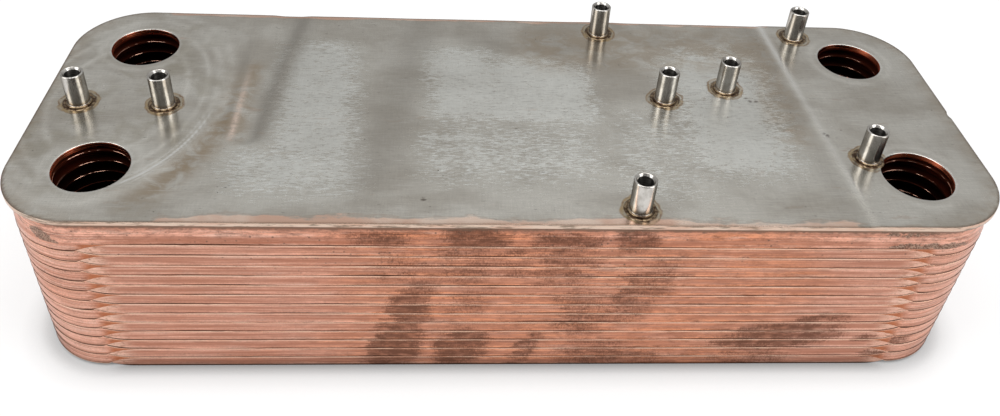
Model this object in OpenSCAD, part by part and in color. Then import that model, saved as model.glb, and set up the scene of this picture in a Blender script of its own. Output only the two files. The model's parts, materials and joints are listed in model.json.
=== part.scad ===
// Brazed plate heat exchanger, lying on its back with the connection side up.
// A flat cover plate overhangs a stack of pressed trays. Each tray's flared skirt points down
// and nests inside the skirt above it, and the skirts and port collars are brazed together.
// Origin: middle of the stack's lower rim. +X runs along the length, +Z out of the cover plate.

/* [Cover plate] */
// Length of the cover plate
cover_l = 328.8; // [240:1:600]
// Width of the cover plate
cover_w = 120; // [106:1:240]
// Thickness of the cover plate
cover_t = 2.1; // [1:0.1:4]
// Corner radius of the cover plate
corner_r = 25.5; // [16:0.5:40]
// Chamfer round the mouth of each port
port_chamfer = 0.3; // [0.1:0.05:0.6]

/* [Plate stack] */
// Number of channel plates under the top tray, an even number
channel_plates = 26; // [6:2:40]
// Height from one plate to the next
plate_pitch = 2.285; // [1.8:0.005:3]
// Thickness of the pressed sheet
sheet_t = 0.4; // [0.3:0.05:0.6]
// Braze film between two plates that meet
braze_film = 0.03; // [0.01:0.01:0.08]
// Height of a tray from its floor to the edge of its skirt
skirt_h = 8.9; // [7:0.1:14]
// How far the skirts stay inside the edge of the cover plate
skirt_inset = 1.06; // [0:0.02:4]
// Outer bend radius between the tray floor and its skirt
bend_r = 1.7; // [1:0.1:3]
// Strip of every second plate that shows under the plate above it
side_reveal = 0.9; // [0.5:0.1:1.5]
// Height of the skirts' corners over the next plate's straight edge
corner_lift = 1.6; // [0.5:0.1:2]
// How far a hidden corner edge stays behind the plate that covers it
corner_tuck = 0.15; // [0.05:0.05:0.5]
// Length of the ramp from a corner edge to a straight edge
ramp_l = 9; // [3:0.5:15]

/* [Ports] */
// Distance from a port's centre to the end of the cover plate
port_inset_x = 26.6; // [22:0.2:60]
// Distance from a port's centre to the long side of the cover plate
port_inset_y = 25.2; // [22:0.2:42]
// Diameter of the ports
port_d = 24.4; // [16:0.2:28]
// Width of the flat brazed ring round a port
collar_w = 3.3; // [2:0.1:5]
// Width of the slope from that ring to the tray floor
collar_slope_w = 1.8; // [1:0.1:3]

/* [Stand-offs] */
// Height of a threaded stand-off over the cover plate
standoff_h = 12.6; // [6:0.2:40]
// Outer diameter of a stand-off
standoff_d = 7.5; // [6:0.1:9]
// Core diameter of its M6 thread
thread_core_d = 5; // [4:0.1:5.2]
// Chamfer that leads into the thread
mouth_chamfer = 0.7; // [0.2:0.05:0.8]
// Chamfer round the top edge of a stand-off
standoff_chamfer = 0.25; // [0.1:0.05:0.3]
// Width of the weld foot round a stand-off
foot_w = 0.55; // [0.2:0.05:1]
// Height of the foot's upright edge
foot_edge_h = 0.3; // [0.1:0.05:0.4]
// Height of the weld foot
foot_h = 0.65; // [0.5:0.05:1.5]

/* [Back plate] */
// Thickness of the plate that closes the back of the stack
back_t = 2; // [1:0.1:4]
// Gap between the back plate and the skirt round it
back_gap = 0.25; // [0.1:0.05:1]

/* [Hidden] */
$fn = 96;
// The flare at which nested skirts lie one braze film apart
flare = asin((sheet_t + braze_film) / plate_pitch);
stack_top = channel_plates * plate_pitch + skirt_h;
cover_top = stack_top + cover_t;
pair_pitch = 2 * plate_pitch;
port_r = port_d / 2;
// Distances between the port centres
port_span_x = cover_l - 2 * port_inset_x;
port_span_y = cover_w - 2 * port_inset_y;
// Corner centres shared by the cover plate and every tray
centre_x = cover_l / 2 - corner_r;
centre_y = cover_w / 2 - corner_r;
skirt_r = corner_r - skirt_inset;
// Centre of the bend, measured from a corner centre and from the top of the tray floor
bend_x = skirt_r - (bend_r + (skirt_h - bend_r) * sin(flare)) / cos(flare);
collar_r = port_r + collar_w + collar_slope_w;
collar_h = (plate_pitch - sheet_t - braze_film) / 2;
// Flat ring that always stays between the two chamfers of a stand-off
least_rim = 0.2;
margin = 5;
overcut = 1;
ramp_steps = 6;
// What a tray has at a port
OPEN = 0;
RAISED = 1;
SUNK = -1;
CLOSED = 2;
DOMED = 3;
// Front pair of ports first, then the back pair
PORTS = [for (y = [-1, 1]) for (x = [-1, 1]) [x * port_span_x / 2, y * port_span_y / 2]];
// Stand-off centres, as on the real cover plate: measured from the ports and the long sides
// where a stand-off lies near one, and otherwise from the middle of the plate
STANDOFFS = [
    [-13.9 - port_span_x / 2, -0.5],
    [15.2 - port_span_x / 2, -1.1],
    [38.2, cover_w / 2 - 8.2],
    [57.4, 7],
    [82, 14.2],
    [38.4, 7.4 - cover_w / 2],
    [port_span_x / 2 - 18.1, cover_w / 2 - 8.2],
    [port_span_x / 2 - 14.4, 8.9 - port_span_y / 2]
];
CHANNEL_NODES = [for (i = [1 : channel_plates]) str("channel_plate_", i)];
STANDOFF_NODES = [for (i = [1 : len(STANDOFFS)]) str("standoff_", i)];

// Rounded rectangle made of exact arcs, with its corners on the shared centres
module rounded_outline(r) {
    square([2 * (centre_x + r), 2 * centre_y], center = true);
    square([2 * centre_x, 2 * (centre_y + r)], center = true);
    for (x = [-1, 1], y = [-1, 1])
        translate([x * centre_x, y * centre_y])
            circle(r);
}

// Section of a tray from a corner centre outwards: floor, bend, and flared skirt down to edge_z
module tray_section(edge_z) {
    reach = skirt_r - (skirt_h + edge_z) * tan(flare);
    sheet_x = sheet_t / cos(flare);
    translate([0, -sheet_t])
        square([bend_x, sheet_t]);
    translate([bend_x, -bend_r])
        intersection() {
            difference() {
                circle(bend_r);
                circle(bend_r - sheet_t);
            }
            polygon([
                [0, 0],
                2 * bend_r * [cos(flare), sin(flare)],
                2 * bend_r * [1, 1],
                [0, 2 * bend_r]
            ]);
        }
    outer = [bend_x + bend_r * cos(flare), bend_r * sin(flare) - bend_r];
    polygon([
        outer,
        outer - sheet_t * [cos(flare), sin(flare)],
        [reach - sheet_x, edge_z],
        [reach, edge_z]
    ]);
}

// Share of a ramp's height at share t of its length: steep at the corner, level at the side
function ramp_share(t) = 1 - pow(1 - t, 2);

// Straight wall of a tray. Its edge ramps from corner_z at both ends to side_z
module tray_wall(run, corner_z, side_z) {
    low = min(corner_z, side_z) - overcut;
    left = [
        for (i = [0 : ramp_steps])
            let (t = i / ramp_steps)
                [t * ramp_l - run / 2, corner_z + (side_z - corner_z) * ramp_share(t)]
    ];
    right = [for (i = [ramp_steps : -1 : 0]) [-left[i][0], left[i][1]]];
    difference() {
        translate([-run / 2, 0, 0])
            rotate([90, 0, 90])
                linear_extrude(run)
                    tray_section(min(corner_z, side_z));
        translate([0, skirt_r + margin, 0])
            rotate([90, 0, 0])
                linear_extrude(bend_r + 2 * margin)
                    polygon(concat(left, right, [[run / 2, low], [-run / 2, low]]));
    }
}

// Ring that meets the next plate round a port. It rises by h, or sinks where h is negative
module port_collar(h, inner_r) {
    rotate_extrude()
        polygon([
            [inner_r, h],
            [port_r + collar_w, h],
            [collar_r, 0],
            [collar_r, -sheet_t],
            [port_r + collar_w, h - sheet_t],
            [inner_r, h - sheet_t]
        ]);
}

// Walls and corners of a tray, with the top of its floor at z = 0
module tray_sides(corner_z, side_z) {
    for (side = [0, 180])
        rotate(side) {
            translate([0, centre_y, 0])
                tray_wall(2 * centre_x, corner_z, side_z);
            rotate(90)
                translate([0, centre_x, 0])
                    tray_wall(2 * centre_y, corner_z, side_z);
            translate([centre_x, centre_y, 0])
                rotate_extrude(angle = 90)
                    tray_section(corner_z);
            translate([-centre_x, centre_y, 0])
                rotate(90)
                    rotate_extrude(angle = 90)
                        tray_section(corner_z);
        }
}

// One pressed tray with a form for each port
module tray(corner_z, side_z, ports) {
    difference() {
        union() {
            tray_sides(corner_z, side_z);
            translate([-centre_x, -centre_y, -sheet_t])
                cube([2 * centre_x, 2 * centre_y, sheet_t]);
        }
        for (i = [0 : 3])
            if (ports[i] != CLOSED)
                translate([PORTS[i][0], PORTS[i][1], -sheet_t - overcut])
                    cylinder(r = ports[i] == OPEN ? port_r : collar_r, h = sheet_t + 2 * overcut);
    }
    for (i = [0 : 3])
        translate(PORTS[i]) {
            if (ports[i] == RAISED)
                port_collar(collar_h, port_r);
            if (ports[i] == SUNK)
                port_collar(-collar_h, port_r);
            if (ports[i] == DOMED)
                port_collar(collar_h, 0);
        }
}

// Flat plate that carries the ports and stand-offs
module cover_plate() {
    color("silver")
        translate([0, 0, stack_top])
            difference() {
                linear_extrude(cover_t)
                    rounded_outline(corner_r);
                for (p = PORTS)
                    translate([p[0], p[1], cover_t])
                        rotate_extrude()
                            polygon([
                                [0, -cover_t - overcut],
                                [port_r, -cover_t - overcut],
                                [port_r, -port_chamfer],
                                [port_r + port_chamfer + overcut, overcut],
                                [0, overcut]
                            ]);
            }
}

// Tray right under the cover plate, with its whole skirt in view
module top_tray() {
    color("peru")
        translate([0, 0, stack_top])
            tray(-skirt_h, -skirt_h, [SUNK, SUNK, OPEN, OPEN]);
}

// Channel plates come in two kinds, turn and turn about. The odd ones show at the corners
// and the even ones along the straight sides. The last one closes the ports.
module channel_plate(i) {
    odd = i % 2 == 1;
    last = i == channel_plates;
    edge_odd = -skirt_h + plate_pitch;
    color(odd ? "darksalmon" : "peru")
        translate([0, 0, stack_top - i * plate_pitch])
            if (odd)
                tray(
                    edge_odd - pair_pitch + corner_lift,
                    edge_odd - side_reveal,
                    [RAISED, RAISED, SUNK, SUNK]
                );
            else
                tray(
                    -skirt_h + corner_lift + corner_tuck,
                    -skirt_h,
                    last ? [CLOSED, CLOSED, DOMED, DOMED] : [SUNK, SUNK, RAISED, RAISED]
                );
}

// Flat plate inside the last tray, against its floor
module back_plate() {
    top = skirt_h - sheet_t;
    color("silver")
        translate([0, 0, top - back_t])
            linear_extrude(back_t)
                rounded_outline(bend_x - back_gap);
}

// Round internally threaded spacer on a small weld foot
module standoff(i) {
    core_r = thread_core_d / 2;
    outer_r = standoff_d / 2;
    mouth = min(mouth_chamfer, outer_r - core_r - standoff_chamfer - least_rim);
    color("gainsboro")
        translate([STANDOFFS[i - 1][0], STANDOFFS[i - 1][1], cover_top])
            rotate_extrude()
                polygon([
                    [core_r, 0],
                    [outer_r + foot_w, 0],
                    [outer_r + foot_w, foot_edge_h],
                    [outer_r, foot_h],
                    [outer_r, standoff_h - standoff_chamfer],
                    [outer_r - standoff_chamfer, standoff_h],
                    [core_r + mouth, standoff_h],
                    [core_r, standoff_h - mouth]
                ]);
}

cover_plate();
top_tray();
for (i = [1 : channel_plates])
    channel_plate(i);
back_plate();
for (i = [1 : len(STANDOFFS)])
    standoff(i);
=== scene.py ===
"""Looks for the brazed plate heat exchanger: sheet relief, braze, threads, finishes, light and camera.

Everything is in metres in the CAD frame. Surface patterns are laid out in millimetres.
"""

import json
import math

import bmesh
import bpy
import numpy as np
from mathutils import Matrix, Vector, noise


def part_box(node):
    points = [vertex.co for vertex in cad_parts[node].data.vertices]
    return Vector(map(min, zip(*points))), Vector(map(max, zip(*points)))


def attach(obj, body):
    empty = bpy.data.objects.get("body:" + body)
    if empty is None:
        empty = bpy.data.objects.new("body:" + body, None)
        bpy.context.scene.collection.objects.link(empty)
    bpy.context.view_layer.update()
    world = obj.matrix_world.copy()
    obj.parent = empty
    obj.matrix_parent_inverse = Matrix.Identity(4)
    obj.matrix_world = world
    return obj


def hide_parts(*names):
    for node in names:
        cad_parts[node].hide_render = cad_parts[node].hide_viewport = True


MM = 0.001
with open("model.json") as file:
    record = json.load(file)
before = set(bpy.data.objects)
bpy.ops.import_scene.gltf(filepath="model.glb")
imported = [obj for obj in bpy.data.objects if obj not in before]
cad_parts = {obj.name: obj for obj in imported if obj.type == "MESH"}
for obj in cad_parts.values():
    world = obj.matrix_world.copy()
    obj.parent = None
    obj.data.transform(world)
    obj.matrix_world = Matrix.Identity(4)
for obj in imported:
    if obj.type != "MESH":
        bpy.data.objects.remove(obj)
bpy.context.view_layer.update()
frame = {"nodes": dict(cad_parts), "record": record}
MOUNTS = {m["name"]: m for m in frame["record"]["mounts"]}

# Sizes that the frame gives
COVER_LOW, COVER_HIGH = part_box("cover_plate")
COVER_TOP = COVER_HIGH.z
COVER_BOTTOM = COVER_LOW.z
HALF_L = COVER_HIGH.x
HALF_W = COVER_HIGH.y
PORTS = [m for name, m in MOUNTS.items() if name.startswith("port_")]
PORT_XY = [(m["pos_m"][0], m["pos_m"][1]) for m in PORTS]
PORT_R = PORTS[0]["dims"]["r_mm"] * MM
THREADS = [m for name, m in MOUNTS.items() if name.startswith("standoff_thread_")]
STANDOFF_XY = [(m["pos_m"][0], m["pos_m"][1]) for m in THREADS]
PORTS_MM = [(x / MM, y / MM) for x, y in PORT_XY]
STANDOFFS_MM = [(x / MM, y / MM) for x, y in STANDOFF_XY]
CORE_R = THREADS[0]["dims"]["r_mm"] * MM
STANDOFF_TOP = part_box("standoff_1")[1].z
CHANNEL_PLATES = sum(name.startswith("channel_plate_") for name in frame["nodes"])
PITCH = (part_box("channel_plate_2")[1].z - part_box("channel_plate_4")[1].z) / 2
SKIRT_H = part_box("top_tray")[1].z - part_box("top_tray")[0].z
UPPER_EDGE = COVER_BOTTOM - SKIRT_H

# Sizes repeated from the construction
CORNER_R = 25.5 * MM
SHEET_T = 0.4 * MM
BRAZE_FILM = 0.03 * MM
SKIRT_INSET = 1.06 * MM
SIDE_REVEAL = 0.9 * MM
CORNER_LIFT = 1.6 * MM
CORNER_TUCK = 0.15 * MM
RAMP_L = 9 * MM
FOOT_W = 0.55 * MM
FOOT_EDGE_H = 0.3 * MM
FOOT_H = 0.65 * MM
MOUTH_CHAMFER = 0.7 * MM
TOP_CHAMFER = 0.25 * MM
THREAD_DEPTH = 4.5 * MM
THREAD_PITCH = 1.0 * MM
CENTRE_X = HALF_L - CORNER_R
CENTRE_Y = HALF_W - CORNER_R
SKIRT_R = CORNER_R - SKIRT_INSET
FLARE = math.asin((SHEET_T + BRAZE_FILM) / PITCH)
COLLAR_H = (PITCH - SHEET_T - BRAZE_FILM) / 2

# Sizes of the details that only this scene has
GRID = 0.8 * MM
EDGE_R = 0.15 * MM
LIP_R = 0.28 * MM
NICK_R = 4 * MM
NICK_DEPTH = 0.7 * MM
BEAD_R = 0.25 * MM
THREAD_H = 0.40 * MM
WELD_H = 0.16 * MM
WELD_WOBBLE = 0.10 * MM

# ------------ where the marks are, in mm

# Scuffed patches of the cover plate: x from and to, y from and to, softness, strength, lean
SCUFFS = [
    (-84, -56, -30, 40, 9, 0.85, 0.08),
    (-98, -54, -46, -25, 10, 0.7, 0.08),
    (-29, 31, -8, 30, 8, 0.9, 0.08),
    (-29, -2, 20, 38, 7, 0.8, 0.08),
    (-33, 30, -40, -9, 12, 0.5, 0),
    (-34, -8, -20, -15, 3, 0.75, 0),
    (62, 97, -34, 38, 12, 0.95, 0),
    (34, 66, -48, 0, 12, 0.4, 0),
]

# Brown smears, laid out in the same way
SMEARS = [
    (-97.5, -92, -22, 26, 3, 0.9, 0),
    (4, 110, 26, 54, 9, 0.7, 0),
    (94, 108, -20, 40, 5, 0.6, 0),
]

# Copper fringes along the front and back edges, laid out in the same way
FRINGES = [
    (-113, 108, -90, -57.2, 3.6, 1, 0),
    (-135, 112, 58.4, 90, 2.2, 1, 0),
]

# Arcs of the polishing on the left end, on the scale of port_land: place and width
POLISH_ARCS = [(0.62, 0.03), (0.81, 0.025), (0.93, 0.04), (1.03, 0.05)]

# Bright scratches there: place, width and strength
LAND_SCRATCHES = [(0.955, 0.009, 1), (0.915, 0.007, 0.45), (0.985, 0.007, 0.35)]

# Small dark nicks in the cover plate: x and y
NICKS = [
    (88.6, 8.3), (89.8, 6.9), (92, 6.6), (112, -12), (113, -13.5), (129.5, -26),
    (130.5, -29), (-31, -49), (86, 20), (88, 18.5), (60, 22),
]

# Soot smudges on the front: middle x, height z, half width, half height, lean, depth of tone
FRONT_SMUDGES = [
    (-36, 24, 8, 22, 0.32, 1),
    (-41, 8, 10, 12, 0.25, 1.1),
    (-18, 9, 10, 12, 0.2, 1),
    (5, 8, 4, 11, 0.3, 0.8),
    (24, 28, 11, 13, 0, 0.75),
    (-45, 62, 10, 4, 0, 0.8),
    (-15, 62, 12, 5, 0, 1),
    (14, 61, 14, 4, 0, 0.9),
    (-38, 49, 12, 8, 0, 0.65),
    (-17, 50, 10, 11, 0, 0.72),
    (-1, 52, 8, 9, 0, 0.62),
    (16, 51, 13, 12, 0, 0.72),
    (-14, 34, 8, 9, 0.2, 0.6),
    (30, 5, 17, 8, 0, 0.75),
    (37, 62, 8, 6, 0, 0.95),
    (43, 39, 10, 18, 0.3, 0.8),
    (96, 15, 22, 8, 1.1, 1.1),
    (107, 23, 11, 5, 1.1, 0.8),
    (88, 3, 16, 5, 0, 0.7),
    (47, 3, 8, 5, 0, 0.7),
    (127, 14, 5, 2.4, 0, 0.9),
    (132, 5, 5, 2.4, 0, 0.9),
    (141, 13, 4, 2.4, 0, 0.8),
]

# Places on the uppermost front skirt where the copper skin is missing, laid out as the smudges are
BARE_PATCHES = [
    (-148, 61.3, 4, 2.6, -1.1, 0.95),
    (136, 60, 16, 2, 0, 0.9),
    (126, 66, 10, 2.2, 0, 0.8),
    (0, 67, 40, 1.4, 0, 0.6),
]

# The front is most orange, dark and uneven round this x
DARK_MIDDLE_X = 18


# ------------ shader trees


class Nodes:
    """A node tree. Most methods add a node and return its output socket."""

    def __init__(self, tree):
        self.tree = tree

    def plug(self, socket, value):
        if isinstance(value, bpy.types.NodeSocket):
            self.tree.links.new(value, socket)
        elif isinstance(value, tuple) and len(value) == 3 and socket.type == "RGBA":
            socket.default_value = (*value, 1)
        else:
            socket.default_value = value

    def add(self, kind, inputs=None, output=0, **settings):
        """Adds a node, gives it inputs by name or number, and returns one of its outputs."""
        node = self.tree.nodes.new(kind)
        for key, value in settings.items():
            setattr(node, key, value)
        for key, value in (inputs or {}).items():
            self.plug(node.inputs[key], value)
        return node.outputs[output]

    def math(self, operation, *values):
        return self.add("ShaderNodeMath", dict(enumerate(values)), operation=operation)

    def times(self, first, *others):
        """Product of two or more numbers."""
        for other in others:
            first = self.math("MULTIPLY", first, other)
        return first

    def shaken(self, value, tremor, amount, middle=0.5):
        """A number moved up and down by a noise that varies about its middle."""
        return self.math("ADD", value, self.times(self.math("SUBTRACT", tremor, middle), amount))

    def ramp(self, value, low, high, to_low=0, to_high=1):
        """Smooth step of a value from low..high to to_low..to_high."""
        inputs = dict(enumerate((value, low, high, to_low, to_high)))
        return self.add("ShaderNodeMapRange", inputs, interpolation_type="SMOOTHSTEP")

    def bell(self, value, centre, width):
        """1 at the centre, 0 one width away on either side."""
        off = self.math("ABSOLUTE", self.math("SUBTRACT", value, centre))
        return self.ramp(off, 0, width, 1, 0)

    def scale(self, vector, factors):
        return self.add("ShaderNodeVectorMath", {0: vector, 1: factors}, operation="MULTIPLY")

    def shift(self, vector, offset):
        return self.add("ShaderNodeVectorMath", {0: vector, 1: offset}, operation="ADD")

    def combine(self, x, y, z):
        return self.add("ShaderNodeCombineXYZ", {0: x, 1: y, 2: z})

    def split(self, vector):
        node = self.tree.nodes.new("ShaderNodeSeparateXYZ")
        self.plug(node.inputs[0], vector)
        return tuple(node.outputs)

    def mix(self, factor, a, b):
        """Colour a to colour b."""
        return self.add("ShaderNodeMix", {"Factor": factor, 6: a, 7: b}, 2, data_type="RGBA")

    def blend(self, factor, a, b):
        """Number a to number b."""
        return self.add("ShaderNodeMix", {"Factor": factor, 2: a, 3: b}, data_type="FLOAT")


class Shader(Nodes):
    """One material, with the colour that its layers build up and the coordinates of its surface in mm."""

    def __init__(self, name):
        self.material = bpy.data.materials.new(name)
        self.material.use_nodes = True
        super().__init__(self.material.node_tree)
        self.tree.nodes.clear()
        self.output = self.tree.nodes.new("ShaderNodeOutputMaterial")
        self.bsdf = self.tree.nodes.new("ShaderNodeBsdfPrincipled")
        self.plug(self.output.inputs[0], self.bsdf.outputs[0])
        self.place = self.scale(self.add("ShaderNodeTexCoord", output="Object"), (1 / MM,) * 3)
        self.x, self.y, self.z = self.split(self.place)

    def noise(self, size, detail, roughness, distortion=0, place=None, seed=(0, 0, 0)):
        """Noise from 0 to 1 whose features are about `size` millimetres along X, Y and Z."""
        factors = tuple(1 / s for s in size)
        where = self.shift(self.scale(place or self.place, factors), seed)
        inputs = {"Vector": where, "Scale": 1, "Detail": detail, "Roughness": roughness}
        inputs["Distortion"] = distortion
        return self.add("ShaderNodeTexNoise", inputs, "Fac")

    def top_noise(self, along_x, along_y, *settings, **more):
        """Noise on the cover plate, too tall along Z to change with the relief."""
        return self.noise((along_x, along_y, 20), *settings, **more)

    def side_noise(self, along, up, *settings, **more):
        """Noise on upright surfaces, the same along X and Y."""
        return self.noise((along, along, up), *settings, **more)

    def spots(self, size, seed=(0, 0, 0)):
        """Distance to the nearest of scattered points, in units of `size`."""
        where = self.shift(self.scale(self.place, (1 / size,) * 3), seed)
        return self.add("ShaderNodeTexVoronoi", {"Vector": where, "Scale": 1}, "Distance", feature="F1")

    def field(self, name):
        """A number stored on the mesh."""
        return self.add("ShaderNodeAttribute", output="Fac", attribute_name=name)

    def nearest(self, centres):
        """Distance in plan to the nearest of some centres, all in mm."""
        flat = self.scale(self.place, (1, 1, 0))
        best = None
        for x, y in centres:
            inputs = {0: flat, 1: (x, y, 0)}
            distance = self.add("ShaderNodeVectorMath", inputs, "Value", operation="DISTANCE")
            best = distance if best is None else self.math("MINIMUM", best, distance)
        return best

    def start(self, tone, low, high, first, second):
        """Sets the colour to a mix of two by a noise."""
        self.color = self.mix(self.ramp(tone, low, high), first, second)

    def tint(self, factor, color):
        """Mixes a colour over the colour so far."""
        self.color = self.mix(factor, self.color, color)

    def brighten(self, factor):
        """Multiplies the colour so far, by a factor that may go over 1."""
        self.color = self.add("ShaderNodeVectorMath", {0: self.color, "Scale": factor}, operation="SCALE")

    def bump(self, height, strength, distance=0.1 * MM):
        inputs = {"Strength": strength, "Distance": distance, "Height": height}
        self.plug(self.bsdf.inputs["Normal"], self.add("ShaderNodeBump", inputs))

    def grooves(self, anisotropic, x, y, z):
        """Spreads highlights as fine grooves do, with the given direction as the tangent."""
        self.bsdf.inputs["Anisotropic"].default_value = anisotropic
        self.plug(self.bsdf.inputs["Tangent"], self.combine(x, y, z))

    def finish(self, roughness, metallic=1):
        self.plug(self.bsdf.inputs["Base Color"], self.color)
        self.plug(self.bsdf.inputs["Roughness"], roughness)
        self.plug(self.bsdf.inputs["Metallic"], metallic)
        return self.material


# ------------ cover plate's materials


def sheet_tone(s, cloud, dashes, ragged):
    """Rolled steel with scuffs broken up into dashes. Returns the share of scuff."""
    s.start(cloud, 0.34, 0.66, (0.475, 0.445, 0.39), (0.61, 0.59, 0.535))
    placed = s.field("scuff")
    scuff = s.shaken(s.shaken(placed, dashes, 2.6), ragged, 0.9)
    scuff = s.times(s.ramp(scuff, 0.42, 0.62), s.ramp(placed, 0.02, 0.2, 0.3, 1))
    s.tint(s.times(scuff, 0.5), (0.635, 0.655, 0.635))
    flecks = s.top_noise(2.8, 0.36, 2, 0.5, seed=(5, 0, 8))
    border = s.times(s.bell(placed, 0.42, 0.4), s.ramp(placed, 0.04, 0.3))
    s.tint(s.times(s.ramp(flecks, 0.56, 0.64), border, 0.6), (0.80, 0.82, 0.80))
    s.tint(s.times(s.ramp(flecks, 0.42, 0.35), placed, 0.5), (0.33, 0.32, 0.295))
    return scuff


def polish(s):
    """Faint arcs of the polishing round the ports, and an olive cast on the land there."""
    arcs = s.noise((16, 16, 9), 3, 0.5, seed=(8, 2, 1))
    swirl = s.times(s.field("swirl"), s.ramp(arcs, 0.34, 0.6, 0.25, 1), 0.6)
    s.tint(swirl, (0.76, 0.74, 0.68))
    olive = s.top_noise(11, 9, 3, 0.5, distortion=0.4, seed=(1, 3, 9))
    olive = s.times(s.ramp(olive, 0.46, 0.66), s.field("land"), 0.42)
    s.tint(olive, (0.36, 0.325, 0.25))


def scratches(s, dashes, ragged):
    """Dark pinpricks, nicks and pale hairlines."""
    specks = s.times(s.ramp(s.spots(3.1), 0.10, 0.05), s.ramp(ragged, 0.54, 0.66))
    cuts = s.top_noise(2.2, 0.35, 1, 0.4, seed=(9, 4, 0))
    s.tint(s.math("MAXIMUM", specks, s.ramp(cuts, 0.76, 0.81)), (0.14, 0.125, 0.11))
    nicks = s.shaken(s.nearest(NICKS), dashes, 4)
    s.tint(s.ramp(nicks, 0.8, 0.45, 0, 0.8), (0.10, 0.075, 0.06))
    slanted = s.combine(s.math("ADD", s.x, s.times(s.y, 0.35)), s.y, 0)
    hairs = s.noise((15, 0.45, 1), 2, 0.5, place=slanted, seed=(3, 7, 0))
    s.tint(s.ramp(hairs, 0.66, 0.74, 0, 0.4), (0.78, 0.77, 0.74))


def edge_copper(s, cloud, ragged):
    """Copper that crept over the edge in the furnace, and a dark line of painted shade along the rim in
    places.
    """
    along = s.top_noise(22, 5, 4, 0.6, seed=(1, 9, 4))
    fringe = s.shaken(s.shaken(s.field("fringe"), along, 1.6), ragged, 0.8)
    s.tint(s.times(s.bell(fringe, 0.42, 0.14), 0.28), (0.40, 0.28, 0.20))
    cream = s.mix(s.ramp(cloud, 0.38, 0.58), (0.76, 0.49, 0.37), (0.88, 0.68, 0.56))
    s.tint(s.times(s.ramp(fringe, 0.42, 0.66), 0.92), cream)
    # Painted shade: a dark line along the rounded top edge
    line = s.times(s.field("edge"), s.ramp(along, 0.30, 0.46, 0.25, 1), 0.85)
    s.tint(line, (0.20, 0.14, 0.10))


def heat_tint(s):
    """Amber ground, brown outer ring and dark inner ring round each stand-off."""
    wobble = s.top_noise(2, 2, 4, 0.65, seed=(2, 2, 2))
    drift = s.top_noise(7, 7, 2, 0.55, seed=(5, 8, 1))
    reach = s.shaken(s.shaken(s.nearest(STANDOFFS_MM), wobble, 2.2), drift, 2.6)
    amber = s.mix(s.ramp(wobble, 0.40, 0.60), (0.41, 0.285, 0.135), (0.40, 0.35, 0.26))
    ground = s.times(s.ramp(reach, 7.2, 6.4), s.ramp(drift, 0.34, 0.56, 0.4, 0.85))
    s.tint(ground, amber)
    outer = s.times(s.bell(reach, 6.7, 0.55), s.ramp(wobble, 0.42, 0.56, 0.1, 0.8))
    s.tint(outer, (0.24, 0.13, 0.055))
    s.tint(s.times(s.ramp(reach, 5.9, 5.2), 0.92), (0.11, 0.068, 0.038))


def cover_steel():
    """Rolled stainless sheet with scuffed patches, heat tint, brown smears and a copper fringe, with painted
    shade and highlights on its relief.
    """
    s = Shader("cover_steel")
    cloud = s.top_noise(30, 22, 4, 0.55, distortion=0.4, seed=(3, 1, 0))
    brush = s.top_noise(12, 0.25, 4, 0.7)
    rolled = s.top_noise(5, 0.4, 3, 0.7, seed=(6, 5, 0))
    crossed = s.top_noise(0.4, 4, 3, 0.7, seed=(4, 0, 6))
    dashes = s.top_noise(2.2, 0.42, 3, 0.6, seed=(0, 5, 0))
    ragged = s.top_noise(7, 3.5, 4, 0.6, seed=(2, 8, 0))
    scuff = sheet_tone(s, cloud, dashes, ragged)
    polish(s)
    # Painted shade of the relief, from the shade field
    s.tint(s.field("shade"), (0.35, 0.325, 0.285))
    s.brighten(s.blend(rolled, 0.81, 1.19))
    s.brighten(s.blend(crossed, 0.88, 1.12))
    mottle = s.top_noise(9, 6, 5, 0.65, distortion=0.8, seed=(7, 0, 2))
    brown = s.times(s.field("brown"), s.ramp(mottle, 0.34, 0.60), 0.7)
    s.tint(brown, (0.36, 0.275, 0.185))
    scratches(s, dashes, ragged)
    edge_copper(s, cloud, ragged)
    heat_tint(s)
    # Pale copper on the groove's ridge, brightened as a painted highlight
    rubbed = s.top_noise(3, 1.4, 4, 0.7, seed=(4, 2, 7))
    ridge_copper_and_highlight = s.times(s.field("ridge_copper_and_highlight"), s.ramp(rubbed, 0.36, 0.54, 0.25, 1))
    s.tint(ridge_copper_and_highlight, (0.88, 0.70, 0.59))
    # Painted highlights on the crease and the port lips, and bright scratches on the land
    s.tint(s.field("bright"), (0.86, 0.86, 0.83))
    s.bump(s.math("ADD", s.times(brush, 0.6), s.times(crossed, 0.3)), 0.12, 0.05 * MM)
    s.grooves(0.7, 0, 1, 0)
    return s.finish(s.blend(scuff, s.blend(cloud, 0.20, 0.28), 0.34))


def cover_rim():
    """Sheared edge of the cover plate: bare steel with patches of copper, and painted shade along its lower
    edge.
    """
    s = Shader("cover_rim")
    patches = s.side_noise(20, 2.5, 4, 0.6, seed=(4, 0, 0))
    grime = s.side_noise(7, 1, 4, 0.7, seed=(0, 7, 0))
    s.start(patches, 0.42, 0.62, (0.71, 0.55, 0.445), (0.66, 0.43, 0.325))
    s.tint(s.times(s.ramp(grime, 0.50, 0.64), 0.8), (0.20, 0.15, 0.11))
    # Painted shade along the lowest part of the rim
    bottom = COVER_BOTTOM / MM
    low = s.shaken(s.ramp(s.z, bottom + 0.55, bottom + 0.2), grime, 1)
    s.tint(s.ramp(low, 0.3, 0.9), (0.27, 0.175, 0.125))
    s.bump(s.side_noise(2.5, 0.25, 3, 0.7), 0.25)
    return s.finish(0.36)


# ------------ skirts' material


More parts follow.
